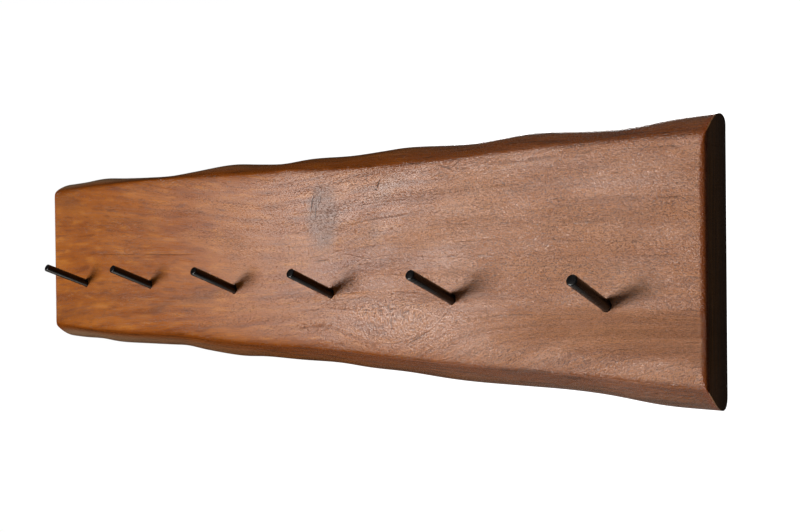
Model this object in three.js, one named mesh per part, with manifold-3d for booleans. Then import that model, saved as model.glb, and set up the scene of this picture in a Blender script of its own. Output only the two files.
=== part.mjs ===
// Wall hook rack: a live-edge hardwood slab with a row of steel pegs that point upwards.
// Millimetres. +X runs to the right along the slab, +Y into the wall and +Z up.
// The origin is on the slab's flat back, at the middle of its length.
import * as THREE from 'three';
import { mergeVertices } from 'three/addons/utils/BufferGeometryUtils.js';
import Module from 'manifold-3d';

const wasm = await Module();
wasm.setup();

// ---- Driving dimensions -------------------------------------------------------------------

// Slab
const SLAB_LENGTH = 926;
const SLAB_THICKNESS = 46;
const FACE_HEIGHT = 188;          // planed front face, between the two long arrises
const TOP_FLARE = 15;             // how far the natural edge stands out above the face, on average
const BOTTOM_FLARE = 17.5;
const TOP_CREST_DEPTH = 32;       // depth behind the front face where the edge is widest
const BOTTOM_CREST_DEPTH = 35;
const END_ARRIS = 5;              // easing of the front arrises at the two ends
const EDGE_ARRIS = 3;             // easing of the front arrises along the natural edges
const REAR_ARRIS = 3.5;           // easing of the rear arrises at the two ends
const TOP_REAR_DROP = 12;         // how far the natural edge turns in again at the back
const BOTTOM_REAR_DROP = 18;
const TOP_HOLLOW = 1;             // above 1, the natural edge leaves the face more gently
const BOTTOM_HOLLOW = 1.25;
const END_LEAN = THREE.MathUtils.degToRad(0.8);   // both ends are cut a little out of square
const LEFT_CORNER = 0.06;         // part of the length over which the left corners are rounded off
const LEFT_ARRIS = 4;             // added there to the upper edge's easing
const LEFT_FULLNESS = 0.45;       // taken there from the lower edge's hollow

// Pegs
const PEG_COUNT = 6;
const PEG_SPACING = 152.4;
const PEG_ROW_HEIGHT = -34;       // where the pegs' axes cross the front face
const PEG_ROW_SHIFT = 1;          // the row's middle, to the right of the slab's middle
const PEG_STRAY = [0, -6.5, 1.5, 0, 0, 0];   // hand drilling: each peg, along the row
const PEG_RISE = [0.5, 2, 0.5, 0.5, 0, 0];   // how much higher its hole is
const PEG_PROUD = [0, -3.5, 0, 0, 4.5, 0.5]; // and how much further out it sits than the rest
const PEG_DIAMETER = 9.5;         // 3/8 in rod
const PEG_REACH = 60.5;           // from the front face to the tip, along the peg
const PEG_TILT = THREE.MathUtils.degToRad(21);
const PEG_TIP_EASE = 1.1;
const PEG_TIP_CURVE = 0.3;        // share of the easing still left halfway round the tip's rim
const PEG_FOOT_CHAMFER = 0.5;
const SEAT_DEPTH = 18;            // drilled seat, along the peg from the front face
const SEAT_CLEARANCE = 0.4;       // radial; it shows as a thin dark ring

// Studs and inserts
const STUD_DIAMETER = 6;
const STUD_LENGTH = 24;
const STUD_CHAMFER = 0.8;
const STUD_HOLE_SPARE = 2;        // drilled past each end of the stud
const INSERT_DIAMETER = 10;       // over the outer thread
const INSERT_THREAD_DEPTH = 0.9;
const INSERT_THREAD_PITCH = 2.6;
const THREAD_CREST = 0.45;        // where the thread's crest comes in each turn
const THREAD_END = 0.6;           // and where the turn ends
const INSERT_LENGTH = 13;

// Keyhole plates and their screws
const PLATE_SPACING = 406.4;
const PLATE_HEIGHT = 58;          // the plates' middle, above the slab's middle
const PLATE_LENGTH = 52;
const PLATE_WIDTH = 19;
const PLATE_THICKNESS = 2;
const PLATE_INSET = 0.3;          // below the slab's back, so that the wood meets the wall
const PLATE_SCREW_SPACING = 40;
const KEYHOLE_DIAMETER = 10;      // lets the wall screw's head in
const KEYHOLE_SLOT = 5;           // holds the wall screw's shank
const KEYHOLE_TRAVEL = 12;        // from the round hole's centre to the slot's end centre
const HEAD_POCKET_WIDTH = 13;
const HEAD_POCKET_DEPTH = 9;      // behind the plate, for the wall screw's head
const SCREW_SHANK = 3.5;
const SCREW_HEAD = 7;
const SCREW_LENGTH = 16;
const SCREW_POINT = 5;
const SCREW_TIP = 0.4;            // radius left at the very point
const SCREW_SET_IN = 0.1;         // head below the plate's face
const CROSS_WIDTH = 1.1;          // cross recess in the screw's head
const CROSS_LENGTH = 4;
const CROSS_DEPTH = 1.4;

const CLEARANCE = 0.3;            // gap between pieces that touch
const HEAD_CLEARANCE = 0.45;      // round a countersunk head, so that its slope stays clear
const PAST = 1;                   // how far a cutter runs past the face that it opens
const WELD = 1e-4;                // corners closer than this are one corner
const ROUND = 24;                 // facets of a round piece
const SMALL_ROUND = 16;
const BORE_ROUND = 18;
const SLOT_ROUND = 12;            // facets of each half-round end of a slot
const SLAB_STEPS = 48;            // stations along each natural edge
const END_STEPS = 3;
const FRONT_DEPTHS = [0, 0.6, 1.8, 3.4, END_ARRIS, 10, 16, 23];    // outlines up to the crest
const CREST_TURN = [0, 0.4, 0.72, 0.92, 1];                        // and from it to the back

// The natural edges: [part of the length from the left end, millimetres outwards].
const TOP_FACE_WAVE = [
  [0, -2.5], [0.09, 0.5], [0.2, 3.5], [0.25, 4], [0.36, 2.5], [0.47, 0.5], [0.52, 1.5],
  [0.56, -1], [0.63, -2.5], [0.74, -1.5], [0.84, 2], [0.95, 3], [1, 2],
];
const TOP_CREST_WAVE = [
  [0, -3.5], [0.05, -2], [0.095, 0.6], [0.14, -1.4], [0.19, -3.2], [0.265, -4.5], [0.315, -1.4],
  [0.384, 2.8], [0.435, 0], [0.48, -2], [0.53, 0.8], [0.59, 0], [0.638, 1.9], [0.67, 3.3],
  [0.733, 0.9], [0.761, 0.7], [0.824, 5.1], [0.874, 2.8], [0.92, 1.6], [0.96, 5], [1, 6.3],
];
const BOTTOM_FACE_WAVE = [
  [0, -2.5], [0.065, 0.5], [0.17, 1.5], [0.25, -0.5], [0.31, -2.5], [0.41, -0.5], [0.5, -1.5],
  [0.57, -2.5], [0.68, -1], [0.78, -0.5], [0.9, -1.5], [1, 0],
];
const BOTTOM_CREST_WAVE = [
  [0, 1.1], [0.03, 1.5], [0.08, 0.5], [0.125, 2.3], [0.195, 0.2], [0.25, -1.7], [0.286, -2.8],
  [0.326, 0.2], [0.395, 2.4], [0.44, 0], [0.503, -0.7], [0.566, -2.2], [0.612, -0.5],
  [0.664, -0.5], [0.721, 1.6], [0.755, 1.8], [0.812, 0.4], [0.858, -0.7], [0.898, 0],
  [0.95, 3.6], [1, 2.6],
];

// ---- Materials ----------------------------------------------------------------------------

const finish = (color, roughness, metalness) =>
  new THREE.MeshStandardMaterial({ color, roughness, metalness });
const oiledWood = finish(0x8a4c26, 0.5, 0);
const blackPaint = finish(0x17161a, 0.45, 0.2);
const plainSteel = finish(0x9a9ca0, 0.35, 1);
const brass = finish(0xb08d4a, 0.35, 1);

// ---- Helpers ------------------------------------------------------------------------------

function solidOf(geometry) {
  const bare = geometry.clone();
  bare.deleteAttribute('normal');
  bare.deleteAttribute('uv');
  const merged = mergeVertices(bare, WELD);
  return new wasm.Manifold(new wasm.Mesh({
    numProp: 3,
    vertProperties: new Float32Array(merged.attributes.position.array),
    triVerts: new Uint32Array(merged.index.array),
  }));
}

function geometryOf(solid) {
  const { vertProperties, triVerts } = solid.getMesh();
  const geometry = new THREE.BufferGeometry();
  geometry.setAttribute('position', new THREE.BufferAttribute(vertProperties, 3));
  geometry.setIndex(new THREE.BufferAttribute(triVerts, 1));
  geometry.computeVertexNormals();
  return geometry;
}

function named(name, geometry, material) {
  const mesh = new THREE.Mesh(geometry, material);
  mesh.name = name;
  return mesh;
}

// A turned piece: [radius, height] pairs from the axis round to the axis again, about +Y.
function turned(profile, facets = ROUND) {
  return new THREE.LatheGeometry(profile.map(([r, y]) => new THREE.Vector2(r, y)), facets);
}

function rod(radius, from, to, facets = ROUND) {
  return turned([[0, from], [radius, from], [radius, to], [0, to]], facets);
}

// Smooth curve through [t, value] points, read at t.
function waveAt(points, t) {
  const last = points.length - 2;
  const found = points.findIndex(([start], i) => i < last && t < points[i + 1][0] && t >= start);
  const i = found < 0 ? last : found;
  const slope = (j) => {
    const a = points[Math.max(j - 1, 0)];
    const b = points[Math.min(j + 1, points.length - 1)];
    return (b[1] - a[1]) / (b[0] - a[0]);
  };
  const [t0, v0] = points[i];
  const [t1, v1] = points[i + 1];
  const span = t1 - t0;
  const u = (t - t0) / span;
  const w = u * u * (3 - 2 * u);
  return v0 + (v1 - v0) * w
    + span * (slope(i) * u * (1 - u) * (1 - u) - slope(i + 1) * u * u * (1 - u));
}

// How far a quarter-round easing of the given radius sets an edge back, at a depth into it.
function easing(radius, depth) {
  if (depth >= radius) return 0;
  return radius - Math.sqrt(radius ** 2 - (radius - depth) ** 2);
}

// ---- Slab ---------------------------------------------------------------------------------

// Share of the flare reached at a depth behind the front face: a swell out to the crest,
// then a quarter round back in.
function flare(depth, crestDepth, faceEdge, crest, hollow, rearDrop, arris) {
  if (depth <= crestDepth) {
    const swell = Math.sin((Math.PI / 2) * (depth / crestDepth)) ** hollow;
    return faceEdge + (crest - faceEdge) * swell - easing(arris, depth);
  }
  const turn = (depth - crestDepth) / (SLAB_THICKNESS - crestDepth);
  return crest - rearDrop * (1 - Math.sqrt(1 - turn * turn));
}

// 1 at the slab's left end, falling to 0 where its rounded-off corners finish.
const nearLeft = (t) => Math.max(0, 1 - t / LEFT_CORNER) ** 2;

function topEdge(t, depth) {
  const face = FACE_HEIGHT / 2 + waveAt(TOP_FACE_WAVE, t);
  const crest = FACE_HEIGHT / 2 + TOP_FLARE + waveAt(TOP_CREST_WAVE, t);
  const arris = EDGE_ARRIS + LEFT_ARRIS * nearLeft(t);
  return flare(depth, TOP_CREST_DEPTH, face, crest, TOP_HOLLOW, TOP_REAR_DROP, arris);
}

function bottomEdge(t, depth) {
  const face = FACE_HEIGHT / 2 + waveAt(BOTTOM_FACE_WAVE, t);
  const crest = FACE_HEIGHT / 2 + BOTTOM_FLARE + waveAt(BOTTOM_CREST_WAVE, t);
  const hollow = BOTTOM_HOLLOW - LEFT_FULLNESS * nearLeft(t);
  return -flare(depth, BOTTOM_CREST_DEPTH, face, crest, hollow, BOTTOM_REAR_DROP, EDGE_ARRIS);
}

// The slab as a stack of outlines from its front face to its back.
function slabBody() {
  const depths = [...FRONT_DEPTHS,
    ...CREST_TURN.map((s) => TOP_CREST_DEPTH + (SLAB_THICKNESS - TOP_CREST_DEPTH) * s)];
  const half = SLAB_LENGTH / 2;

  const outline = (depth) => {
    const inset = easing(END_ARRIS, depth) + easing(REAR_ARRIS, SLAB_THICKNESS - depth);
    const xAt = (t) => (2 * t - 1) * (half - inset);
    const onEnd = (t, from, to, i) =>
      [xAt(t), THREE.MathUtils.lerp(from(t, depth), to(t, depth), i / END_STEPS)];
    const points = [];
    for (let i = 0; i <= SLAB_STEPS; i += 1) {
      points.push([xAt(i / SLAB_STEPS), bottomEdge(i / SLAB_STEPS, depth)]);
    }
    for (let i = 1; i < END_STEPS; i += 1) points.push(onEnd(1, bottomEdge, topEdge, i));
    for (let i = SLAB_STEPS; i >= 0; i -= 1) {
      points.push([xAt(i / SLAB_STEPS), topEdge(i / SLAB_STEPS, depth)]);
    }
    for (let i = 1; i < END_STEPS; i += 1) points.push(onEnd(0, topEdge, bottomEdge, i));
    return points;
  };

  const rings = depths.map(outline);
  const around = rings[0].length;
  const positions = rings.flatMap((ring, k) =>
    ring.flatMap(([x, z]) => [x - z * Math.tan(END_LEAN), depths[k] - SLAB_THICKNESS, z]));
  const index = [];
  for (let k = 0; k + 1 < rings.length; k += 1) {
    for (let i = 0; i < around; i += 1) {
      const next = (i + 1) % around;
      const [a, b, c, d] = [k * around + i, (k + 1) * around + i, k * around + next,
        (k + 1) * around + next];
      index.push(a, b, c, c, b, d);
    }
  }
  const cap = (k, flip) => {
    const contour = rings[k].map(([x, z]) => new THREE.Vector2(x, z));
    THREE.ShapeUtils.triangulateShape(contour, []).forEach(([a, b, c]) => {
      const corners = flip ? [a, c, b] : [a, b, c];
      index.push(...corners.map((corner) => k * around + corner));
    });
  };
  cap(0, false);
  cap(rings.length - 1, true);

  const geometry = new THREE.BufferGeometry();
  geometry.setAttribute('position', new THREE.Float32BufferAttribute(positions, 3));
  geometry.setIndex(index);
  return geometry;
}

// ---- Pegs: everything here is along the peg's own +Y, which is 0 where it leaves the face ---

const SEAT_RADIUS = PEG_DIAMETER / 2 + SEAT_CLEARANCE;
const PEG_FOOT = -SEAT_DEPTH + CLEARANCE;
const STUD_MIDDLE = -SEAT_DEPTH;
const STUD_HOLE_RADIUS = STUD_DIAMETER / 2 + CLEARANCE;
const INSERT_TOP = -SEAT_DEPTH - CLEARANCE;
const INSERT_FOOT = INSERT_TOP - INSERT_LENGTH;
const STUD_TOP = STUD_MIDDLE + STUD_LENGTH / 2;
const STUD_FOOT = STUD_MIDDLE - STUD_LENGTH / 2;

function pegPlace(i) {
  const place = new THREE.Group();
  const along = (i - (PEG_COUNT - 1) / 2) * PEG_SPACING + PEG_ROW_SHIFT + (PEG_STRAY[i] ?? 0);
  place.position.set(along, -SLAB_THICKNESS, PEG_ROW_HEIGHT + (PEG_RISE[i] ?? 0));
  place.rotation.x = Math.PI - PEG_TILT;
  place.updateMatrix();
  return place;
}

function pegRod() {
  const r = PEG_DIAMETER / 2;
  return turned([
    [0, STUD_TOP + STUD_HOLE_SPARE],
    [STUD_HOLE_RADIUS, STUD_TOP + STUD_HOLE_SPARE],
    [STUD_HOLE_RADIUS, PEG_FOOT],
    [r - PEG_FOOT_CHAMFER, PEG_FOOT],
    [r, PEG_FOOT + PEG_FOOT_CHAMFER],
    [r, PEG_REACH - PEG_TIP_EASE],
    [r - PEG_TIP_EASE * PEG_TIP_CURVE, PEG_REACH - PEG_TIP_EASE * PEG_TIP_CURVE],
    [r - PEG_TIP_EASE, PEG_REACH],
    [0, PEG_REACH],
  ]);
}

function stud() {
  const r = STUD_DIAMETER / 2;
  return turned([
    [0, STUD_FOOT], [r - STUD_CHAMFER, STUD_FOOT], [r, STUD_FOOT + STUD_CHAMFER],
    [r, STUD_TOP - STUD_CHAMFER], [r - STUD_CHAMFER, STUD_TOP], [0, STUD_TOP],
  ], SMALL_ROUND);
}

// A sleeve with a coarse outer thread, drawn as rings, and a straight hole for the stud.
function insert() {
  const crest = INSERT_DIAMETER / 2;
  const root = crest - INSERT_THREAD_DEPTH;
  const turns = Math.floor((INSERT_LENGTH - INSERT_THREAD_PITCH) / INSERT_THREAD_PITCH);
  const start = INSERT_FOOT + INSERT_THREAD_PITCH / 2;
  const profile = [[STUD_HOLE_RADIUS, INSERT_FOOT], [root, INSERT_FOOT]];
  for (let i = 0; i < turns; i += 1) {
    const y = start + i * INSERT_THREAD_PITCH;
    profile.push(
      [root, y],
      [crest, y + INSERT_THREAD_PITCH * THREAD_CREST],
      [root, y + INSERT_THREAD_PITCH * THREAD_END],
    );
  }
  profile.push([root, INSERT_TOP], [STUD_HOLE_RADIUS, INSERT_TOP], [STUD_HOLE_RADIUS, INSERT_FOOT]);
  return turned(profile, SMALL_ROUND);
}

// Everything drilled for one peg: the seat, the insert's hole and room past the stud's end.
// A peg that is sunk below the rest has all of it drilled that much deeper.
function pegBore(sunk) {
  const insertHole = INSERT_DIAMETER / 2 + CLEARANCE;
  const widest = Math.max(SEAT_RADIUS, insertHole);
  const studEnd = Math.min(STUD_FOOT, INSERT_FOOT) - STUD_HOLE_SPARE;
  const mouth = SEAT_RADIUS * Math.tan(PEG_TILT) + PAST;
  return turned([
    [0, studEnd - sunk],
    [STUD_HOLE_RADIUS, studEnd - sunk],
    [STUD_HOLE_RADIUS, INSERT_FOOT - CLEARANCE - sunk],
    [insertHole, INSERT_FOOT - CLEARANCE - sunk],
    [insertHole, -SEAT_DEPTH - sunk],
    [widest, -SEAT_DEPTH - sunk],
    [widest, -SEAT_DEPTH + CLEARANCE - sunk],
    [SEAT_RADIUS, -SEAT_DEPTH + CLEARANCE - sunk],
    [SEAT_RADIUS, mouth],
    [0, mouth],
  ], BORE_ROUND);
}

// ---- Keyhole plates, drawn in the plate's own X and Z about its middle, and let in from +Y ---

const PLATE_BACK = -PLATE_INSET;
const PLATE_FRONT = PLATE_BACK - PLATE_THICKNESS;
const POCKET_FLOOR = PLATE_FRONT - CLEARANCE;
const HEAD_POCKET_FLOOR = POCKET_FLOOR - HEAD_POCKET_DEPTH;

// A slot-shaped outline, upright, from one end centre to the other.
function upright(width, low, high) {
  const shape = new THREE.Shape();
  shape.absarc(0, high, width / 2, 0, Math.PI, false);
  shape.absarc(0, low, width / 2, Math.PI, 2 * Math.PI, false);
  shape.closePath();
  return shape;
}

// Extrudes an outline drawn in X and Z between two depths.
function between(shape, from, to) {
  const geometry = new THREE.ExtrudeGeometry(shape, {
    depth: to - from, bevelEnabled: false, curveSegments: SLOT_ROUND,
  });
  geometry.rotateX(Math.PI / 2);
  geometry.translate(0, to, 0);
  return geometry;
}

// The round hole is centred at the keyhole's low end, and the slot runs up to its high end.
const KEYHOLE_LOW = -KEYHOLE_TRAVEL / 2;
const KEYHOLE_HIGH = KEYHOLE_TRAVEL / 2;
const pocketHalf = PLATE_LENGTH / 2 - PLATE_WIDTH / 2;

function screwHole() {
  const r = SCREW_SHANK / 2 + CLEARANCE;
  const head = SCREW_HEAD / 2 + HEAD_CLEARANCE;
  return turned([
    [0, PLATE_FRONT - PAST], [r, PLATE_FRONT - PAST], [r, PLATE_BACK - (head - r)],
    [head, PLATE_BACK], [head, PLATE_BACK + PAST], [0, PLATE_BACK + PAST],
  ]);
}

function plateScrew() {
  const r = SCREW_SHANK / 2;
  const head = SCREW_HEAD / 2;
  const top = PLATE_BACK - SCREW_SET_IN;
  const foot = top - SCREW_LENGTH;
  const screw = solidOf(turned([
    [0, foot], [SCREW_TIP, foot], [r, foot + SCREW_POINT], [r, top - (head - r)], [head, top],
    [0, top],
  ], SMALL_ROUND));
  const arm = new THREE.BoxGeometry(CROSS_LENGTH, 2 * CROSS_DEPTH, CROSS_WIDTH);
  arm.translate(0, top, 0);
  const crossArm = arm.clone().rotateY(Math.PI / 2);
  return geometryOf(screw.subtract(solidOf(arm)).subtract(solidOf(crossArm)));
}

function plate() {
  const body = solidOf(between(upright(PLATE_WIDTH, -pocketHalf, pocketHalf), PLATE_FRONT, PLATE_BACK));
  return geometryOf([
    between(upright(KEYHOLE_SLOT, KEYHOLE_LOW, KEYHOLE_HIGH), PLATE_FRONT - PAST, PLATE_BACK + PAST),
    rod(KEYHOLE_DIAMETER / 2, PLATE_FRONT - PAST, PLATE_BACK + PAST).translate(0, 0, KEYHOLE_LOW),
    ...[-1, 1].map((side) => screwHole().translate(0, 0, (side * PLATE_SCREW_SPACING) / 2)),
  ].reduce((left, cutter) => left.subtract(solidOf(cutter)), body));
}

// The pocket for one plate, its wall screw's head and its own two screws.
function plateCuts() {
  const pilot = SCREW_SHANK / 2 + CLEARANCE;
  const reach = PLATE_BACK - SCREW_LENGTH - PAST;
  return [
    between(upright(PLATE_WIDTH + 2 * CLEARANCE, -pocketHalf, pocketHalf), POCKET_FLOOR, PAST),
    between(upright(HEAD_POCKET_WIDTH, KEYHOLE_LOW, KEYHOLE_HIGH), HEAD_POCKET_FLOOR, PAST),
    ...[-1, 1].map((side) => rod(pilot, reach, PAST).translate(0, 0, (side * PLATE_SCREW_SPACING) / 2)),
  ];
}

// ---- Assembly -----------------------------------------------------------------------------

const rack = new THREE.Group();
let slab = solidOf(slabBody());

for (let i = 0; i < PEG_COUNT; i += 1) {
  const place = pegPlace(i);
  const proud = PEG_PROUD[i] ?? 0;
  const sunk = Math.max(0, -proud);
  slab = slab.subtract(solidOf(pegBore(sunk).applyMatrix4(place.matrix)));
  const drawnOut = new THREE.Group();
  drawnOut.position.y = proud;
  drawnOut.add(
    named(`peg_${i + 1}`, pegRod(), blackPaint),
    named(`peg_stud_${i + 1}`, stud(), plainSteel),
  );
  const sleeve = named(`threaded_insert_${i + 1}`, insert(), brass);
  sleeve.position.y = -sunk;
  place.add(drawnOut, sleeve);
  rack.add(place);
}

for (const [side, x] of [['left', -PLATE_SPACING / 2], ['right', PLATE_SPACING / 2]]) {
  for (const cutter of plateCuts()) {
    slab = slab.subtract(solidOf(cutter.translate(x, 0, PLATE_HEIGHT)));
  }
  const place = new THREE.Group();
  place.position.set(x, 0, PLATE_HEIGHT);
  place.add(named(`keyhole_plate_${side}`, plate(), plainSteel));
  for (const [level, z] of [['upper', PLATE_SCREW_SPACING / 2], ['lower', -PLATE_SCREW_SPACING / 2]]) {
    const screw = named(`plate_screw_${side}_${level}`, plateScrew(), plainSteel);
    screw.position.z = z;
    place.add(screw);
  }
  rack.add(place);
}

rack.add(named('live_edge_slab', geometryOf(slab), oiledWood));

export default rack;
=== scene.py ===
import math

import bmesh
import bpy
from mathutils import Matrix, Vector


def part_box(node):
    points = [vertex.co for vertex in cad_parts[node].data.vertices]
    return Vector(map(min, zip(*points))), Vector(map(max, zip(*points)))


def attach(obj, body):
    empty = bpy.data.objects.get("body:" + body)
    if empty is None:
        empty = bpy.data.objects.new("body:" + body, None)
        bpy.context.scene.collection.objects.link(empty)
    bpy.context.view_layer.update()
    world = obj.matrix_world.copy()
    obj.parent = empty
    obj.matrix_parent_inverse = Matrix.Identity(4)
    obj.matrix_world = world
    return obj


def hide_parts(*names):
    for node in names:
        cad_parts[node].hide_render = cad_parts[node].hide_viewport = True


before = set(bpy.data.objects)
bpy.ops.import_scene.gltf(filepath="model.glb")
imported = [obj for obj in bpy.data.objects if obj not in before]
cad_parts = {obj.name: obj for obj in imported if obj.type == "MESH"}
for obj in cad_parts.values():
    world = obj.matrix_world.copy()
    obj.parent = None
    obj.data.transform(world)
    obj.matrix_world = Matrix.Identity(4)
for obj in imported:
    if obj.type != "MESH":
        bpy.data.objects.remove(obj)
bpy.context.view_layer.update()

# ---- The slab -----------------------------------------------------------------------------
# One board of brown, open-grained hardwood, planed on its face and its back and sawn across at
# both ends. Its long edges keep the tree's own wavy outline, which swells towards the wall.
# The arrises are eased by hand, six peg seats are drilled on a slant, and all of it is oiled.

SLAB_LOW, SLAB_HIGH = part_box("live_edge_slab")
FACE, BACK = SLAB_LOW.y, SLAB_HIGH.y
MM = 0.001
THICKNESS = (BACK - FACE) / MM
FACE_HEIGHT = 188
END_LEAN = math.tan(math.radians(0.8))
HALF_LENGTH = 463
END_ARRIS, EDGE_ARRIS, REAR_ARRIS = 5, 3, 3.5
LEFT_CORNER = 0.06      # part of the length over which the left corners are rounded off

# The natural outlines: [part of the length from the left end, millimetres outwards].
TOP_FACE_WAVE = [
    [0, -2.5], [0.09, 0.5], [0.2, 3.5], [0.25, 4], [0.36, 2.5], [0.47, 0.5], [0.52, 1.5],
    [0.56, -1], [0.63, -2.5], [0.74, -1.5], [0.84, 2], [0.95, 3], [1, 2],
]
TOP_CREST_WAVE = [
    [0, -3.5], [0.05, -2], [0.095, 0.6], [0.14, -1.4], [0.19, -3.2], [0.265, -4.5],
    [0.315, -1.4], [0.384, 2.8], [0.435, 0], [0.48, -2], [0.53, 0.8], [0.59, 0], [0.638, 1.9],
    [0.67, 3.3], [0.733, 0.9], [0.761, 0.7], [0.824, 5.1], [0.874, 2.8], [0.92, 1.6],
    [0.96, 5], [1, 6.3],
]
BOTTOM_FACE_WAVE = [
    [0, -2.5], [0.065, 0.5], [0.17, 1.5], [0.25, -0.5], [0.31, -2.5], [0.41, -0.5],
    [0.5, -1.5], [0.57, -2.5], [0.68, -1], [0.78, -0.5], [0.9, -1.5], [1, 0],
]
BOTTOM_CREST_WAVE = [
    [0, 1.1], [0.03, 1.5], [0.08, 0.5], [0.125, 2.3], [0.195, 0.2], [0.25, -1.7],
    [0.286, -2.8], [0.326, 0.2], [0.395, 2.4], [0.44, 0], [0.503, -0.7], [0.566, -2.2],
    [0.612, -0.5], [0.664, -0.5], [0.721, 1.6], [0.755, 1.8], [0.812, 0.4], [0.858, -0.7],
    [0.898, 0], [0.95, 3.6], [1, 2.6],
]
# Face wave, crest wave, flare, crest depth, hollow, drop behind the crest, and at the left end
# the arris's extra easing and the flank's extra fullness.
TOP = (TOP_FACE_WAVE, TOP_CREST_WAVE, 15, 32, 1, 12, 4, 0)
BOTTOM = (BOTTOM_FACE_WAVE, BOTTOM_CREST_WAVE, 17.5, 35, 1.25, 18, 0, 0.45)


def wave_at(points, along):
    """A smooth curve through a wave's points, read at a part of the slab's length."""
    place = max(i for i in range(len(points) - 1) if points[i][0] <= along or i == 0)

    def slope(i):
        before, after = points[max(i - 1, 0)], points[min(i + 1, len(points) - 1)]
        return (after[1] - before[1]) / (after[0] - before[0])

    (start, low), (end, high) = points[place], points[place + 1]
    span = end - start
    u = (along - start) / span
    bend = slope(place) * u * (1 - u) ** 2 - slope(place + 1) * u * u * (1 - u)
    return low + (high - low) * u * u * (3 - 2 * u) + span * bend


def eased(radius, depth):
    return radius - math.sqrt(radius**2 - (radius - depth) ** 2) if depth < radius else 0


def edge_height(outline, along, depth):
    """How far the natural edge stands from the slab's middle line, in millimetres."""
    face_wave, crest_wave, flare, crest_depth, hollow, drop, left_arris, left_full = outline
    near_left = max(0, 1 - along / LEFT_CORNER) ** 2
    face = FACE_HEIGHT / 2 + wave_at(face_wave, along)
    crest = FACE_HEIGHT / 2 + flare + wave_at(crest_wave, along)
    if depth > crest_depth:
        turn = (depth - crest_depth) / (THICKNESS - crest_depth)
        return crest - drop * (1 - math.sqrt(max(1 - turn * turn, 0)))
    swell = math.sin(math.pi / 2 * depth / crest_depth) ** (hollow - left_full * near_left)
    return face + (crest - face) * swell - eased(EDGE_ARRIS + left_arris * near_left, depth)


def end_inset(depth):
    return eased(END_ARRIS, depth) + eased(REAR_ARRIS, THICKNESS - depth)


# Rails run the length of the slab: (side, depth behind the face, distance in from the edge).
BACK_DEPTH = round(THICKNESS)
EDGE_DEPTHS = [1.4, 3.4, 7, 12, 18, 25, 32, 36.5, 41, 44.3, 45.8, BACK_DEPTH]
BACK_RAILS = [6, 40]
FACE_RAILS = [(0.5, 3.5), (0.12, 8), (0, 14), (0, 45)]
rails = [(1, depth, 0) for depth in EDGE_DEPTHS]
rails += [(1, BACK_DEPTH, inwards) for inwards in BACK_RAILS] + [(0, BACK_DEPTH, 0)]
rails += [(-1, BACK_DEPTH, inwards) for inwards in reversed(BACK_RAILS)]
rails += [(-1, depth, 0) for depth in reversed(EDGE_DEPTHS)]
rails += [(-1, depth, inwards) for depth, inwards in FACE_RAILS] + [(0, 0, 0)]
rails += [(1, depth, inwards) for depth, inwards in reversed(FACE_RAILS)]


def rail_place(rail, along):
    side, depth, inwards = rail
    outline = TOP if side > 0 else BOTTOM
    z = side * (edge_height(outline, along, depth) - inwards)
    x = (2 * along - 1) * (HALF_LENGTH - end_inset(depth)) - z * END_LEAN
    return Vector((x * MM, FACE + depth * MM, z * MM))


def open_mesh(piece, select_mode="VERT"):
    """Opens one piece for shaping, with nothing on it selected."""
    bpy.ops.object.select_all(action="DESELECT")
    piece.select_set(True)
    bpy.context.view_layer.objects.active = piece
    bpy.ops.object.mode_set(mode="EDIT")
    bpy.ops.mesh.select_all(action="DESELECT")
    bpy.ops.mesh.select_mode(type=select_mode)
    return bmesh.from_edit_mesh(piece.data)


def close_mesh():
    bpy.ops.object.mode_set(mode="OBJECT")


def pick(piece, kind, test):
    """Selects the verts, edges or faces of an open mesh that pass a test, and no others."""
    bpy.ops.mesh.select_mode(type={"verts": "VERT", "edges": "EDGE", "faces": "FACE"}[kind])
    bpy.ops.mesh.select_all(action="DESELECT")
    shape = bmesh.from_edit_mesh(piece.data)
    for element in getattr(shape, kind):
        if test(element):
            element.select_set(True)
    shape.select_flush_mode()


def shift_corner(piece, index, target):
    """Slides one corner of an open mesh to its place."""
    shape = bmesh.from_edit_mesh(piece.data)
    shape.verts.ensure_lookup_table()
    corner = shape.verts[index]
    corner.select_set(True)
    bpy.ops.transform.translate(value=target - corner.co)
    shape.verts[index].select_set(False)


def pick_ring(piece, ring):
    shape = bmesh.from_edit_mesh(piece.data)
    shape.verts.ensure_lookup_table()
    for index in ring:
        shape.verts[index].select_set(True)
    shape.select_flush(True)


def corner_places(piece, ring):
    corners = bmesh.from_edit_mesh(piece.data).verts
    return [tuple(round(value, 7) for value in corners[index].co) for index in ring]


def next_ring(piece, places):
    """The corners that an extrude or inset has just made, in the order of the ring before."""
    shape = bmesh.from_edit_mesh(piece.data)
    shape.verts.ensure_lookup_table()
    shape.verts.index_update()
    inner = {}
    for corner in shape.verts:
        if not corner.select:
            for edge in corner.link_edges:
                if edge.other_vert(corner).select:
                    key = tuple(round(value, 7) for value in corner.co)
                    inner[key] = edge.other_vert(corner).index
    for corner in shape.verts:
        corner.select_set(False)
    shape.select_flush(False)
    return [inner[place] for place in places]


def finish_modifiers(piece):
    bpy.ops.object.select_all(action="DESELECT")
    piece.select_set(True)
    bpy.context.view_layer.objects.active = piece
    for modifier in list(piece.modifiers):
        bpy.ops.object.modifier_apply(modifier=modifier.name)


# Stations run along the slab, close together at its ends, as parts of the length.
LENGTH = 2 * HALF_LENGTH
STATION = 12
NEAR_END = [0, 0.7, 3, 7.5]
between = round((LENGTH - 2 * NEAR_END[-1]) / STATION)
stations = [step / LENGTH for step in NEAR_END]
stations += [stations[3] + (1 - 2 * stations[3]) * i / between for i in range(1, between)]
stations += [1 - step / LENGTH for step in reversed(NEAR_END)]

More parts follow.
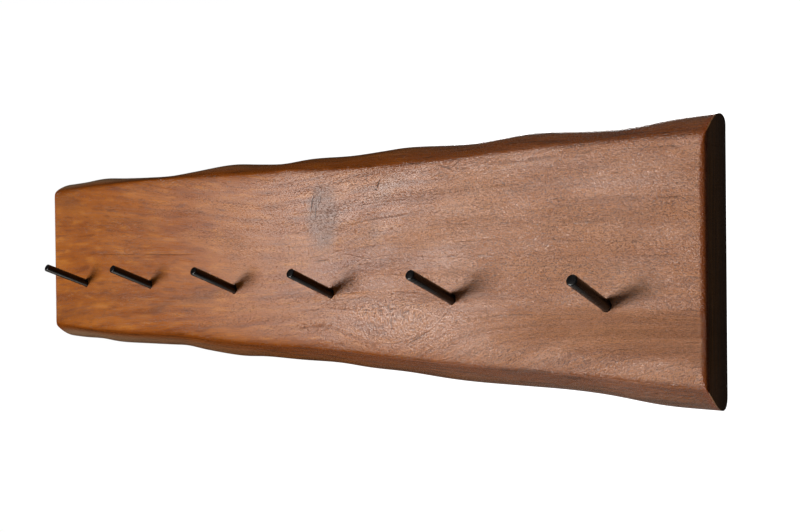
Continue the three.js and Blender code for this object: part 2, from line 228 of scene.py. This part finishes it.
bpy.ops.object.select_all(action="DESELECT")
bpy.ops.mesh.primitive_circle_add(
    vertices=len(rails), radius=0.1, fill_type="NGON",
    location=(SLAB_LOW.x, (FACE + BACK) / 2, 0), rotation=(0, math.radians(90), 0),
)
slab = bpy.context.object
slab.name = "oiled_slab"
bpy.ops.object.transform_apply(location=True, rotation=True, scale=True)
open_mesh(slab)
ring = list(range(len(rails)))
for index, rail in zip(ring, rails):
    shift_corner(slab, index, rail_place(rail, 0))
first_places = corner_places(slab, ring)
for before, along in zip(stations, stations[1:]):
    places = corner_places(slab, ring)
    pick_ring(slab, ring)
    step = (along - before) * LENGTH * MM
    bpy.ops.mesh.extrude_region_move(TRANSFORM_OT_translate={"value": (step, 0, 0)})
    ring = next_ring(slab, places)
    for index, rail in zip(ring, rails):
        shift_corner(slab, index, rail_place(rail, along))

# The left end is closed again, and both ends get rings that round their arrises.
END_RINGS = (0.7, 1.3, 3)
shape = bmesh.from_edit_mesh(slab.data)
if any(edge.is_boundary for edge in shape.edges):
    pick(slab, "edges", lambda edge: edge.is_boundary)
    bpy.ops.mesh.edge_face_add()
    bpy.ops.mesh.select_mode(type="VERT")
last_places = corner_places(slab, ring)
for side, places in ((-1, first_places), (1, last_places)):
    shape = bmesh.from_edit_mesh(slab.data)
    found = {tuple(round(value, 7) for value in corner.co): corner.index
             for corner in shape.verts}
    outer = [found[place] for place in places]
    for step in END_RINGS:
        bmesh.from_edit_mesh(slab.data).verts.ensure_lookup_table()
        places = corner_places(slab, outer)
        bpy.ops.mesh.select_all(action="DESELECT")
        pick_ring(slab, outer)
        bpy.ops.mesh.inset(thickness=step * MM, use_even_offset=True)
        outer = next_ring(slab, places)
        for index in outer:
            corner = bmesh.from_edit_mesh(slab.data).verts[index].co.copy()
            depth = min(max((corner.y - FACE) / MM, 0), THICKNESS)
            corner.x = side * (HALF_LENGTH - end_inset(depth)) * MM - corner.z * END_LEAN
            shift_corner(slab, index, corner)
bpy.ops.mesh.select_all(action="SELECT")
bpy.ops.mesh.normals_make_consistent(inside=False)
close_mesh()
smooth = slab.modifiers.new("Rounding", "SUBSURF")
smooth.levels = smooth.render_levels = 2
finish_modifiers(slab)

# The peg seats, each with the deeper hole for its insert, follow the pegs' own slant.
PEG_TILT = math.radians(21)
peg_way = Vector((0, -math.cos(PEG_TILT), math.sin(PEG_TILT)))
PEG_LENGTH = 78.2 * MM
PEG_RADIUS = 4.75 * MM
SEAT_RADIUS, SEAT_DEPTH = PEG_RADIUS + 0.4 * MM, 18 * MM
INSERT_RADIUS, INSERT_DEPTH = 5.3 * MM, 13.6 * MM
STUD_RADIUS, STUD_DEPTH = 3.3 * MM, 1 * MM
PEG_NUMBERS = range(1, 7)
PEG_NAMES = [f"peg_{number}" for number in PEG_NUMBERS]


def box_middle(node):
    low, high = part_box(node)
    return (low + high) / 2


def peg_root(node):
    """Where a peg's axis crosses the slab's face."""
    middle = box_middle(node)
    return middle + peg_way * ((FACE - middle.y) / peg_way.y)


def seat_depth(node):
    """How deep a peg's foot sits along its axis, and never less than the usual seat."""
    foot = box_middle(node) - peg_way * PEG_LENGTH / 2
    return max((peg_root(node) - foot).dot(peg_way) + 0.3 * MM, SEAT_DEPTH)


def facing(way, cosine=0.9):
    return lambda face: face.normal.dot(way) > cosine


def cut_from_slab(cutters):
    """Cuts a set of closed shapes out of the slab and throws them away."""
    for cutter in cutters:
        cut = slab.modifiers.new("Cut", "BOOLEAN")
        cut.operation, cut.solver, cut.object = "DIFFERENCE", "MANIFOLD", cutter
        finish_modifiers(slab)
        bpy.data.objects.remove(cutter)


def drill_deeper(drill, root, depth, widen, deeper):
    """Steps a drill shape's end to another width and carries it further in."""
    pick(drill, "faces", facing(-peg_way))
    bpy.ops.mesh.extrude_region_move(TRANSFORM_OT_translate={"value": -peg_way * 0.01 * MM})
    bpy.ops.transform.resize(value=(widen,) * 3, center_override=root - peg_way * depth)
    bpy.ops.mesh.extrude_region_move(TRANSFORM_OT_translate={"value": -peg_way * deeper})


seat_cutters = []
for name in PEG_NAMES:
    bpy.ops.object.select_all(action="DESELECT")
    over, depth, root = 4 * MM, seat_depth(name), peg_root(name)
    bpy.ops.mesh.primitive_cylinder_add(
        vertices=64, radius=SEAT_RADIUS, depth=depth + over, end_fill_type="NGON",
        location=root - peg_way * (depth - over) / 2,
        rotation=(math.pi / 2 - PEG_TILT, 0, 0),
    )
    cutter = bpy.context.object
    bpy.ops.object.transform_apply(location=True, rotation=True, scale=True)
    open_mesh(cutter, "FACE")
    drill_deeper(cutter, root, depth, INSERT_RADIUS / SEAT_RADIUS, INSERT_DEPTH)
    drill_deeper(cutter, root, depth + INSERT_DEPTH, STUD_RADIUS / INSERT_RADIUS, STUD_DEPTH)
    close_mesh()
    seat_cutters.append(cutter)
cut_from_slab(seat_cutters)

# The plates' pockets in the back, and the deeper pockets that take the wall screws' heads.
PLATE_NAMES = ["keyhole_plate_left", "keyhole_plate_right"]
# Each: width, how far its round ends reach up and down, depth.
PLATE_POCKET = (19.6, 16.5, 2.6)
HEAD_POCKET = (13, 6, 11.6)
SCREW_HOLE = (4.1, 0, 17.3)
SCREW_PLACE = Vector((0, 0, 20 * MM))


def upright_slug(middle, width, reach, deep):
    """A round-ended upright shape that stands through the slab's back."""
    bpy.ops.object.select_all(action="DESELECT")
    bpy.ops.mesh.primitive_circle_add(
        vertices=48, radius=width / 2 * MM, fill_type="NGON",
        location=(middle.x, BACK - deep * MM, middle.z), rotation=(math.pi / 2, 0, 0),
    )
    slug = bpy.context.object
    bpy.ops.object.transform_apply(location=True, rotation=True, scale=True)
    open_mesh(slug)
    for side in (-1, 1):
        pick(slug, "verts", lambda corner: side * (corner.co.z - middle.z) > 0.01 * MM)
        bpy.ops.transform.translate(value=(0, 0, side * reach * MM))
    bpy.ops.mesh.select_mode(type="FACE")
    bpy.ops.mesh.select_all(action="SELECT")
    bpy.ops.mesh.extrude_region_move(
        TRANSFORM_OT_translate={"value": (0, (deep + 2) * MM, 0)})
    bpy.ops.mesh.select_all(action="SELECT")
    bpy.ops.mesh.normals_make_consistent(inside=False)
    close_mesh()
    return slug


for name in PLATE_NAMES:
    middle = box_middle(name)
    cut_from_slab([
        upright_slug(middle, *PLATE_POCKET),
        upright_slug(middle, *HEAD_POCKET),
        upright_slug(middle + SCREW_PLACE, *SCREW_HOLE),
        upright_slug(middle - SCREW_PLACE, *SCREW_HOLE),
    ])

open_mesh(slab)
bpy.ops.mesh.select_all(action="SELECT")
bpy.ops.mesh.remove_doubles(threshold=0.002 * MM)
bpy.ops.mesh.select_all(action="DESELECT")
close_mesh()
bpy.ops.object.shade_smooth_by_angle(angle=math.radians(35))


def node(tree, kind, inputs=None, **settings):
    made = tree.nodes.new(kind)
    for name, value in settings.items():
        setattr(made, name, value)
    for name, value in (inputs or {}).items():
        if isinstance(value, bpy.types.NodeSocket):
            tree.links.new(value, made.inputs[name])
        else:
            made.inputs[name].default_value = value
    return made


def calc(operation, *values):
    """One maths node, in the node tree that its sockets belong to."""
    tree = next(value.id_data for value in values if isinstance(value, bpy.types.NodeSocket))
    return node(tree, "ShaderNodeMath", dict(enumerate(values)), operation=operation).outputs[0]


def folded(operation, first, *others):
    for other in others:
        first = calc(operation, first, other)
    return first


def plus(*values):
    return folded("ADD", *values)


def minus(*values):
    return folded("SUBTRACT", *values)


def times(*values):
    return folded("MULTIPLY", *values)


def noise(vector, scale=1.0, detail=2.0, roughness=0.5):
    return node(vector.id_data, "ShaderNodeTexNoise", {
        "Vector": vector, "Scale": scale, "Detail": detail, "Roughness": roughness,
    }).outputs["Fac"]


def grain(parts, stretch, detail=2.0, roughness=0.5):
    """Noise over three coordinates, each multiplied by its own number first."""
    scaled = [times(part, by) for part, by in zip(parts, stretch)]
    vector = node(parts[0].id_data, "ShaderNodeCombineXYZ", dict(enumerate(scaled))).outputs[0]
    return noise(vector, 1, detail, roughness)


def remap(value, low, high, to_low=0.0, to_high=1.0, kind="SMOOTHSTEP"):
    return node(value.id_data, "ShaderNodeMapRange", {
        "Value": value, "From Min": low, "From Max": high, "To Min": to_low, "To Max": to_high,
    }, interpolation_type=kind).outputs["Result"]


def ramp(value, low, high, to_low=0.0, to_high=1.0):
    return remap(value, low, high, to_low, to_high, "LINEAR")


def blend(share, first, second):
    """Colours mixed by a share; a colour is a socket or linear red, green and blue."""
    mix = node(share.id_data, "ShaderNodeMix", {0: share}, data_type="RGBA")
    for socket, value in ((mix.inputs[6], first), (mix.inputs[7], second)):
        if isinstance(value, bpy.types.NodeSocket):
            share.id_data.links.new(value, socket)
        else:
            socket.default_value = (*value, 1)
    return mix.outputs[2]


def new_group(name, inputs, outputs):
    """A shader node group with named inputs and outputs: [name, kind, starting value]."""
    tree = bpy.data.node_groups.new(name, "ShaderNodeTree")
    for label, kind, start in inputs:
        socket = tree.interface.new_socket(label, in_out="INPUT", socket_type=f"NodeSocket{kind}")
        if start is not None:
            socket.default_value = start
    for label, kind in outputs:
        tree.interface.new_socket(label, in_out="OUTPUT", socket_type=f"NodeSocket{kind}")
    return tree, tree.nodes.new("NodeGroupInput"), tree.nodes.new("NodeGroupOutput")


def use_group(tree, group, **inputs):
    placed = tree.nodes.new("ShaderNodeGroup")
    placed.node_tree = group
    for name, value in inputs.items():
        socket = placed.inputs[name.replace("_", " ")]
        if isinstance(value, bpy.types.NodeSocket):
            tree.links.new(value, socket)
        else:
            socket.default_value = value
    return placed


def new_material(name, roughness):
    material = bpy.data.materials.new(name)
    material.use_nodes = True
    tree = material.node_tree
    shader = tree.nodes["Principled BSDF"]
    shader.inputs["Roughness"].default_value = roughness
    place = node(tree, "ShaderNodeTexCoord").outputs["Object"]
    return material, tree, shader, place


def build_wood_mark():
    """One soft-edged stroke or stain on the face: an ellipse turned in the face's plane."""
    tree, given, out = new_group("Wood mark", [
        ("Vector", "Vector", None), ("Centre X", "Float", 0), ("Centre Z", "Float", 0),
        ("Angle", "Float", 0), ("Half length", "Float", 0.01), ("Half width", "Float", 0.01),
        ("Softness", "Float", 0.5)], [("Mask", "Float")])
    across_board, _, up_board = node(
        tree, "ShaderNodeSeparateXYZ", {0: given.outputs["Vector"]}).outputs
    x = minus(across_board, given.outputs["Centre X"])
    z = minus(up_board, given.outputs["Centre Z"])
    turn = calc("RADIANS", given.outputs["Angle"])
    cosine, sine = calc("COSINE", turn), calc("SINE", turn)
    along = calc("DIVIDE", plus(times(x, cosine), times(z, sine)), given.outputs["Half length"])
    across = calc("DIVIDE", minus(times(z, cosine), times(x, sine)), given.outputs["Half width"])
    reach = calc("SQRT", plus(times(along, along), times(across, across)))
    inner = minus(1.0, given.outputs["Softness"])
    tree.links.new(remap(reach, inner, 1.0, 1.0, 0.0), out.inputs["Mask"])
    return tree


wood_mark = build_wood_mark()
wood, tree, shader, place = new_material("Oiled open-grained hardwood", 0.46)
shader.inputs["Specular IOR Level"].default_value = 0.52
x, y, z = node(tree, "ShaderNodeSeparateXYZ", {0: place}).outputs

# The grain closes in on the middle line along the left half and arches over the right half.
closing = calc("EXPONENT", times(calc("SMOOTH_MIN", x, 0.0, 0.1), 1.42))
from_arch = minus(x, 0.35)
arch = times(minus(times(from_arch, from_arch), 0.12), 0.2, remap(x, -0.12, 0.15))
across = plus(times(plus(z, 0.005), closing), arch)

# Low at the right it sweeps upwards instead, and everywhere it waves a little.
sweep = times(minus(x, 0.24), 0.42, remap(z, -0.034, -0.078), remap(x, 0.06, 0.22))
across = minus(across, sweep)
swell = times(minus(grain((x, y, across), (4, 10, 12), 2, 0.45), 0.5), 0.020)
ripple = times(minus(grain((x, y, across), (26, 60, 70), 2, 0.5), 0.5), 0.0016)
wavy = plus(across, swell, ripple)

# Growth rings stand about a heart that lies behind the board's back.
behind = minus(y, 0.06)
ring_size = calc("SQRT", plus(times(wavy, wavy), times(behind, behind)))
rings = grain((x, y, ring_size), (1.2, 0, 420), 3, 0.6)
fibres = grain((x, behind, wavy), (14, 900, 900), 3, 0.6)
patches = grain((x, y, wavy), (7, 20, 34), 4, 0.6)
figure = grain((x, y, wavy), (26, 60, 230), 3, 0.6)

# Pores are short dark dashes, crowded along some of the rings.
pore_field = grain((x, behind, wavy), (210, 1500, 1500), 1, 0.5)
pore_share = grain((x, y, ring_size), (9, 0, 260), 2, 0.5)
pores = remap(plus(pore_field, times(minus(pore_share, 0.5), 0.5)), 0.6, 0.7)

# The planed grain is pebbled, hardly at the left and strongly at the right.
pebbles = ramp(grain((x, behind, wavy), (640, 950, 950), 2, 0.7), 0.32, 0.68)
pebble_patches = grain((x, y, wavy), (14, 30, 40), 2, 0.5)
pebble_share = times(ramp(x, -0.10, 0.30, 0.36, 0.95),
                     ramp(pebble_patches, 0.35, 0.65, 0.75, 1.1))
pits = times(remap(pebbles, 0.48, 0.16, 0, 0.8), pebble_share)

# Some of the rings show as thin dark lines, broken up by the pebbling.
drift = grain((x, y, wavy), (3.5, 0, 22), 2, 0.5)
jagged = plus(wavy, times(minus(pebbles, 0.5), 0.0013))
turns = calc("FRACT", plus(times(jagged, 66), times(drift, 2.4)))
gaps = grain((x, y, wavy), (34, 0, 110), 2, 0.6)
lines = times(remap(calc("ABSOLUTE", minus(turns, 0.5)), 0.01, 0.055, 1, 0),
              remap(gaps, 0.47, 0.62), remap(pebbles, 0.8, 0.4),
              ramp(x, -0.1, 0.25, 0.2, 1.0))

# The colours: rings, broad patches, fibres, figure, and then the pits, lines and pores.
colour = blend(remap(rings, 0.34, 0.66), (0.265, 0.066, 0.0070), (0.375, 0.105, 0.0110))
colour = blend(remap(patches, 0.38, 0.7, 0, 0.5), colour, (0.50, 0.170, 0.024))
colour = blend(remap(fibres, 0.5, 0.3, 0, 0.4), colour, (0.15, 0.036, 0.006))
figured = ramp(x, -0.05, 0.25, 1.0, 0.45)
colour = blend(times(remap(figure, 0.48, 0.3, 0, 0.55), figured), colour, (0.14, 0.034, 0.007))
colour = blend(times(remap(figure, 0.52, 0.7, 0, 0.5), figured), colour, (0.56, 0.20, 0.030))
colour = blend(pits, colour, (0.060, 0.016, 0.005))
colour = blend(times(lines, 0.65), colour, (0.045, 0.013, 0.005))
dark_pores = times(pores, ramp(x, -0.3, 0.3, 0.35, 0.65))
colour = blend(dark_pores, colour, (0.055, 0.015, 0.006))

# Stains, checks and a paler zone on the face, and the dark line through the middle at the left.
roving = node(tree, "ShaderNodeTexNoise", {"Vector": place, "Scale": 55.0, "Detail": 3.0})
shaken = node(tree, "ShaderNodeVectorMath", {
    0: roving.outputs["Color"], 1: (0.5, 0.5, 0.5)}, operation="SUBTRACT").outputs[0]


def wandering(distance):
    """The place, shaken by up to about half a distance."""
    shift = node(tree, "ShaderNodeVectorMath", {0: shaken, "Scale": distance}, operation="SCALE")
    moved = node(tree, "ShaderNodeVectorMath", {0: place, 1: shift.outputs[0]}, operation="ADD")
    return moved.outputs[0]


ragged, unsteady = wandering(14 * MM), wandering(3 * MM)
on_face = remap(y, FACE + 3 * MM, FACE + 1 * MM)
#    centre x, centre z, angle, half length, half width, softness, depth of colour, colour
MARKS = [
    (67, 44, 84, 42, 29, 0.55, 0.55, (0.13, 0.058, 0.040)),
    (56, 62, 84, 22, 12, 0.7, 0.4, (0.10, 0.045, 0.034)),
    (72, 20, 10, 24, 12, 0.9, 0.3, (0.12, 0.05, 0.03)),
    (150, 70, 40, 40, 16, 0.9, 0.3, (0.16, 0.085, 0.06)),
    (138, 28, 85, 26, 12, 0.9, 0.3, (0.14, 0.066, 0.045)),
    (51, 59, 78, 14, 1.2, 0.7, 0.9, (0.05, 0.02, 0.014)),
    (57, 50, 84, 11, 1.0, 0.7, 0.8, (0.05, 0.02, 0.014)),
    (63, 62, 72, 8, 1.0, 0.7, 0.7, (0.05, 0.02, 0.014)),
    (84, 44, 66, 6, 0.8, 0.7, 0.6, (0.05, 0.02, 0.014)),
    (118, 4, -8, 30, 0.6, 0.7, 0.5, (0.08, 0.03, 0.015)),
    (65, 0, 5, 14, 1.0, 0.7, 0.6, (0.05, 0.02, 0.012)),
    (-50, 5, 0, 70, 80, 0.9, 0.32, (0.50, 0.19, 0.055)),
    (-300, 5, 0.4, 60, 0.8, 0.6, 0.5, (0.07, 0.022, 0.009)),
    (-200, 5, 0.3, 70, 0.9, 0.6, 0.55, (0.07, 0.022, 0.009)),
    (318, -3, 0.5, 52, 0.8, 0.7, 0.5, (0.07, 0.022, 0.009)),
    (192, -72, 28, 22, 1.1, 0.6, 0.7, (0.06, 0.02, 0.010)),
    (222, -50, 46, 18, 0.9, 0.7, 0.5, (0.08, 0.026, 0.012)),
    (142, 75, 62, 6, 0.9, 0.6, 0.9, (0.02, 0.008, 0.005)),
    (139, 70, -25, 2.5, 1.0, 0.6, 0.9, (0.02, 0.008, 0.005)),
    (127, 79, -35, 4, 0.6, 0.6, 0.7, (0.04, 0.015, 0.008)),
    (222, 86, -14, 13, 0.8, 0.6, 0.8, (0.04, 0.015, 0.01)),
    (236, 90, 40, 9, 0.7, 0.6, 0.7, (0.05, 0.02, 0.01)),
    (-215, -60, 14, 50, 8, 0.9, 0.5, (0.10, 0.030, 0.010)),
    (-130, -45, 12, 60, 9, 0.9, 0.4, (0.11, 0.034, 0.012)),
    (-340, -62, 8, 40, 7, 0.9, 0.5, (0.60, 0.22, 0.035)),
    (-440, 82, -14, 80, 24, 0.9, 0.4, (0.13, 0.040, 0.012)),
    (-430, -78, 8, 90, 12, 0.9, 0.35, (0.13, 0.038, 0.012)),
]
cracks = 0.0
for centre_x, centre_z, angle, length, width, softness, strength, tint in MARKS:
    mark = use_group(tree, wood_mark, Vector=ragged if width > 5 else unsteady,
                     Centre_X=centre_x * MM, Centre_Z=centre_z * MM, Angle=angle,
                     Half_length=length * MM, Half_width=width * MM, Softness=softness)
    share = times(mark.outputs["Mask"], on_face, strength)
    colour = blend(share, colour, tint)
    if width < 2:
        cracks = calc("MAXIMUM", cracks, share)

# Painted sheen: the face at the right is painted paler between its pits, standing in for the oil's
# glossy reflection there.
painted_sheen_right = times(minus(1.0, pits), remap(x, 0.10, 0.32, 0, 0.36))
colour = blend(painted_sheen_right, colour, (0.62, 0.34, 0.22))

# The natural edges: redder along the arris, streaked and browner towards the wall, and paler
# towards the wall and the left, partly dust and partly painted sheen.
height = calc("ABSOLUTE", z)
out_along = calc("ABSOLUTE", plus(x, times(z, END_LEAN)))
edge_zone = times(remap(y, FACE + 0.3 * MM, FACE + 1.8 * MM), remap(height, 0.078, 0.086))
bark = grain((x, y, z), (30, 160, 160), 4, 0.6)
deep_edge = remap(plus(y, times(minus(bark, 0.5), 0.02)), FACE + 8 * MM, FACE + 24 * MM)
edge_colour = blend(deep_edge, (0.225, 0.054, 0.005), (0.190, 0.058, 0.008))
streaks = grain((x, y, z), (22, 330, 330), 3, 0.6)
edge_colour = blend(remap(streaks, 0.5, 0.32, 0, 0.75), edge_colour, (0.055, 0.016, 0.004))
edge_colour = blend(remap(streaks, 0.55, 0.72, 0, 0.6), edge_colour, (0.34, 0.100, 0.011))
colour = blend(times(edge_zone, 0.92), colour, edge_colour)
# Dust and painted sheen: the flanks are painted paler and greyer towards the wall and towards the
# left, where the lamp glances off them.
dust_and_sheen = times(edge_zone, remap(y, FACE + 3 * MM, FACE + 16 * MM),
              ramp(x, 0.0, -0.42, 0.06, 0.85))
colour = blend(dust_and_sheen, colour, (0.33, 0.20, 0.12))
colour = blend(times(pits, edge_zone, 0.9), colour, (0.045, 0.013, 0.004))

# Painted shade: a darker, redder band near the ends that isn't quite even, standing in for the
# rounded end arrises turning away from the lamp's sheen.
end_shade_reach = plus(out_along, times(minus(bark, 0.5), 0.006))
painted_end_arris_shade = remap(end_shade_reach, (HALF_LENGTH - 6.5) * MM, (HALF_LENGTH - 3) * MM, 0, 0.85)
colour = blend(painted_end_arris_shade, colour, (0.23, 0.046, 0.002))

# The sawn ends drink more oil, so they are much darker, and the colour gets darker still towards
# the wall.
end_zone = times(remap(out_along, (HALF_LENGTH - 1.8) * MM, (HALF_LENGTH - 0.4) * MM),
                 remap(y, FACE + 3 * MM, FACE + 6 * MM))
saw_lines = grain((x, y, z), (1, 900, 18), 2, 0.6)
end_colour = blend(remap(saw_lines, 0.35, 0.65), (0.150, 0.062, 0.016), (0.320, 0.135, 0.034))
towards_wall = remap(y, FACE + 6 * MM, BACK - 3 * MM, 0, 0.85)
end_colour = blend(towards_wall, end_colour, (0.060, 0.026, 0.008))
tree.links.new(blend(end_zone, colour, end_colour), shader.inputs["Base Color"])

# The oil shines most on the natural edges and least on the sawn ends and in the hollows.
hollows = calc("MAXIMUM", pits, calc("MAXIMUM", lines, dark_pores))
rough = plus(ramp(fibres, 0.3, 0.7, 0.04, -0.03), ramp(patches, 0.3, 0.7, -0.02, 0.02),
             ramp(x, -0.35, 0.05, 0.25, 0.33))
rough = minus(rough, ramp(x, 0.0, 0.3, 0, 0.07))
rough = plus(rough, times(hollows, 0.14), times(edge_zone, -0.08), times(end_zone, 0.2))
tree.links.new(rough, shader.inputs["Roughness"])

# Relief: fibres, pebbles and rings stand up; pores, lines and cracks are sunk.
relief = plus(times(pores, -0.5), times(fibres, 0.35),
              times(pebbles, pebble_share, ramp(x, 0.0, 0.35, 0.6, 1.15)))
relief = minus(relief, times(lines, 0.6))
relief = minus(plus(relief, times(rings, 0.3)), cracks)
relief = plus(relief, times(plus(bark, streaks), edge_zone))
bump = node(tree, "ShaderNodeBump", {"Height": relief, "Strength": 0.68, "Distance": 0.0004})
tree.links.new(bump.outputs["Normal"], shader.inputs["Normal"])

slab.data.materials.clear()
slab.data.materials.append(wood)
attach(slab, "root")
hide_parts("live_edge_slab")

# ---- The pegs -----------------------------------------------------------------------------
# Six straight steel rods, cut square, with the tip's rim taken off and a tapped hole in the foot.
# Each is painted matt black and turned onto its stud until its foot beds in the slanted seat.

TIP_EASE = 1.15 * MM
TAPPED_RADIUS, TAPPED_DEPTH = 3.3 * MM, 13.7 * MM


def build_hand_wear():
    """Slight unevenness of a finish that is handled: a mask of patches and a fine relief."""
    tree, given, out = new_group("Hand wear", [
        ("Vector", "Vector", None), ("Patch scale", "Float", 60), ("Grain scale", "Float", 1500),
        ("Contrast", "Float", 0.2)], [("Patches", "Float"), ("Relief", "Float")])
    contrast = given.outputs["Contrast"]
    patch = noise(given.outputs["Vector"], given.outputs["Patch scale"], 3.0)
    fine = noise(given.outputs["Vector"], given.outputs["Grain scale"], 2.0)
    tree.links.new(remap(patch, minus(0.5, contrast), plus(0.5, contrast)), out.inputs["Patches"])
    tree.links.new(fine, out.inputs["Relief"])
    return tree


hand_wear = build_hand_wear()
black, tree, shader, place = new_material("Matt black paint", 0.26)
shader.inputs["Specular IOR Level"].default_value = 0.35
wear = use_group(tree, hand_wear, Vector=place, Patch_scale=90.0, Grain_scale=1400.0, Contrast=0.22)
paint = blend(wear.outputs["Patches"], (0.0045, 0.0042, 0.0045), (0.0075, 0.007, 0.0075))
tree.links.new(paint, shader.inputs["Base Color"])
tree.links.new(remap(wear.outputs["Patches"], 0, 1, 0.20, 0.28), shader.inputs["Roughness"])
bump = node(tree, "ShaderNodeBump", {
    "Height": wear.outputs["Relief"], "Strength": 0.25, "Distance": 0.0001})
tree.links.new(bump.outputs["Normal"], shader.inputs["Normal"])

for name in PEG_NAMES:
    bpy.ops.object.select_all(action="DESELECT")
    bpy.ops.mesh.primitive_cylinder_add(
        vertices=48, radius=PEG_RADIUS, depth=PEG_LENGTH, end_fill_type="NGON",
        location=box_middle(name), rotation=(math.pi / 2 - PEG_TILT, 0, 0),
    )
    peg = bpy.context.object
    peg.name = f"painted_{name}"
    bpy.ops.object.transform_apply(location=True, rotation=True, scale=True)
    open_mesh(peg, "FACE")
    pick(peg, "faces", facing(peg_way))
    bpy.ops.mesh.bevel(offset=TIP_EASE, segments=4, profile=0.5)
    pick(peg, "faces", facing(-peg_way))
    bpy.ops.mesh.bevel(offset=0.5 * MM, segments=1)
    pick(peg, "faces", lambda face: facing(-peg_way, 0.99)(face) and len(face.verts) == 48)
    bpy.ops.mesh.inset(thickness=PEG_RADIUS - 0.5 * MM - TAPPED_RADIUS)
    bpy.ops.mesh.extrude_region_move(
        TRANSFORM_OT_translate={"value": peg_way * TAPPED_DEPTH})
    bpy.ops.mesh.select_all(action="SELECT")
    bpy.ops.mesh.normals_make_consistent(inside=False)
    close_mesh()
    bpy.ops.object.shade_smooth_by_angle(angle=math.radians(35))
    peg.data.materials.append(black)
    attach(peg, "root")
    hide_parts(name)

# ---- Studs and inserts --------------------------------------------------------------------
# Under each peg a steel stud joins it to a coarse-threaded brass insert driven into the seat.
# Neither shows once the rack is together. The studs are zinc-plated and the inserts turned.


def build_metal(name, dark, light, roughness, patch_scale):
    material, tree, shader, place = new_material(name, roughness)
    shader.inputs["Metallic"].default_value = 1
    wear = use_group(tree, hand_wear, Vector=place, Patch_scale=patch_scale,
                     Grain_scale=2200.0, Contrast=0.2)
    patches = wear.outputs["Patches"]
    tree.links.new(blend(patches, dark, light), shader.inputs["Base Color"])
    tree.links.new(remap(patches, 0, 1, roughness + 0.08, roughness - 0.04),
                   shader.inputs["Roughness"])
    bump = node(tree, "ShaderNodeBump", {
        "Height": wear.outputs["Relief"], "Strength": 0.3, "Distance": 0.00005})
    tree.links.new(bump.outputs["Normal"], shader.inputs["Normal"])
    return material


def finish_node(name, material):
    """Gives a carried-over part its own finish."""
    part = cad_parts[name]
    if part.material_slots:
        for place in part.material_slots:
            place.material = material
    else:
        part.data.materials.append(material)


bright_zinc = build_metal("Bright zinc", (0.42, 0.44, 0.46), (0.62, 0.63, 0.65), 0.32, 260.0)
turned_brass = build_metal("Turned brass", (0.55, 0.39, 0.16), (0.74, 0.56, 0.27), 0.30, 200.0)
for number in PEG_NUMBERS:
    finish_node(f"peg_stud_{number}", bright_zinc)
    finish_node(f"threaded_insert_{number}", turned_brass)

# ---- Keyhole plates and their screws ------------------------------------------------------
# Two pressed steel plates let into the back, each held by two countersunk screws. The slots
# run upwards, so the rack drops onto two wall screws.

plate_zinc = build_metal("Zinc-plated sheet", (0.38, 0.40, 0.42), (0.60, 0.61, 0.62), 0.36, 120.0)
yellow_zinc = build_metal("Yellow zinc", (0.52, 0.43, 0.22), (0.70, 0.62, 0.40), 0.30, 300.0)
for name in PLATE_NAMES:
    finish_node(name, plate_zinc)
    side = name.rsplit("_", 1)[1]
    for level in ("upper", "lower"):
        finish_node(f"plate_screw_{side}_{level}", yellow_zinc)

# ---- The studio ---------------------------------------------------------------------------
# A plain pale floor well below the rack, white surroundings, and one soft lamp at the left
# front. Weaker lamps fill from above, below, the right end and behind.

bpy.ops.object.select_all(action="DESELECT")
bpy.ops.mesh.primitive_circle_add(vertices=96, radius=1.5, fill_type="NGON",
                                  location=(0, 0, SLAB_LOW.z - 1.6))
floor = bpy.context.object
floor.name = "pale_floor"
bpy.ops.object.transform_apply(location=True, rotation=True, scale=True)
paper, tree, shader, place = new_material("Pale paper", 0.8)
tree.links.new(blend(noise(place, 6, 3), (0.80, 0.79, 0.78), (0.84, 0.83, 0.82)),
               shader.inputs["Base Color"])
floor.data.materials.append(paper)

world = bpy.data.worlds.new("Studio")
world.use_nodes = True
bpy.context.scene.world = world
tree = world.node_tree
seen = node(tree, "ShaderNodeLightPath").outputs["Is Camera Ray"]
way = node(tree, "ShaderNodeTexCoord").outputs["Generated"]
rightwards, backwards, _ = node(tree, "ShaderNodeSeparateXYZ", {0: way}).outputs
dim = times(remap(backwards, -0.1, 0.5, 0.022, 0.012), remap(rightwards, -0.9, -0.3, 0.4, 1))
behind_rack = times(remap(backwards, 0.6, 0.95, 0, 0.3), remap(rightwards, 0.15, -0.25))
strength = plus(dim, behind_rack, seen)
background = tree.nodes["Background"]
background.inputs["Color"].default_value = (1, 1, 1, 1)
tree.links.new(strength, background.inputs["Strength"])


def soft_lamp(name, location, aim, size, watts, tint=(1, 1, 1)):
    lamp = bpy.data.lights.new(name, "AREA")
    lamp.color = tint
    lamp.shape, lamp.size, lamp.energy = "DISK", size, watts
    stand = bpy.data.objects.new(name, lamp)
    bpy.context.collection.objects.link(stand)
    stand.location = location
    stand.rotation_euler = (Vector(aim) - Vector(location)).to_track_quat("-Z", "Y").to_euler()


soft_lamp("main_lamp", (-2.3, -4.1, 0.32), (0, FACE, 0), 1.65, 228, (1.0, 0.975, 0.935))
soft_lamp("top_fill", (-0.2, -0.25, 1.7), (0, FACE, 0), 0.8, 2.5)
soft_lamp("low_fill", (-0.2, -0.25, -1.5), (0, FACE, 0), 0.8, 5, (1.0, 0.93, 0.84))
soft_lamp("end_fill", (2.2, 0.5, 0.2), (0.46, 0, 0), 0.8, 1.2, (1.0, 0.88, 0.75))
soft_lamp("rear_fill", (-0.3, 1.3, 0.25), (0, BACK, 0), 0.9, 16)

# The camera stands close to the right end, level with the rack, and looks left along its face.
camera = bpy.data.objects.new("camera", bpy.data.cameras.new("camera"))
bpy.context.collection.objects.link(camera)
camera.location = (0.6972, -0.6882, 0.0090)
camera.rotation_euler = (math.radians(89.05), 0, math.radians(39.41))
camera.data.sensor_width, camera.data.lens = 36, 39.27
camera.data.clip_start = 0.01
bpy.context.scene.camera = camera
bpy.context.scene.view_settings.view_transform = "Standard"
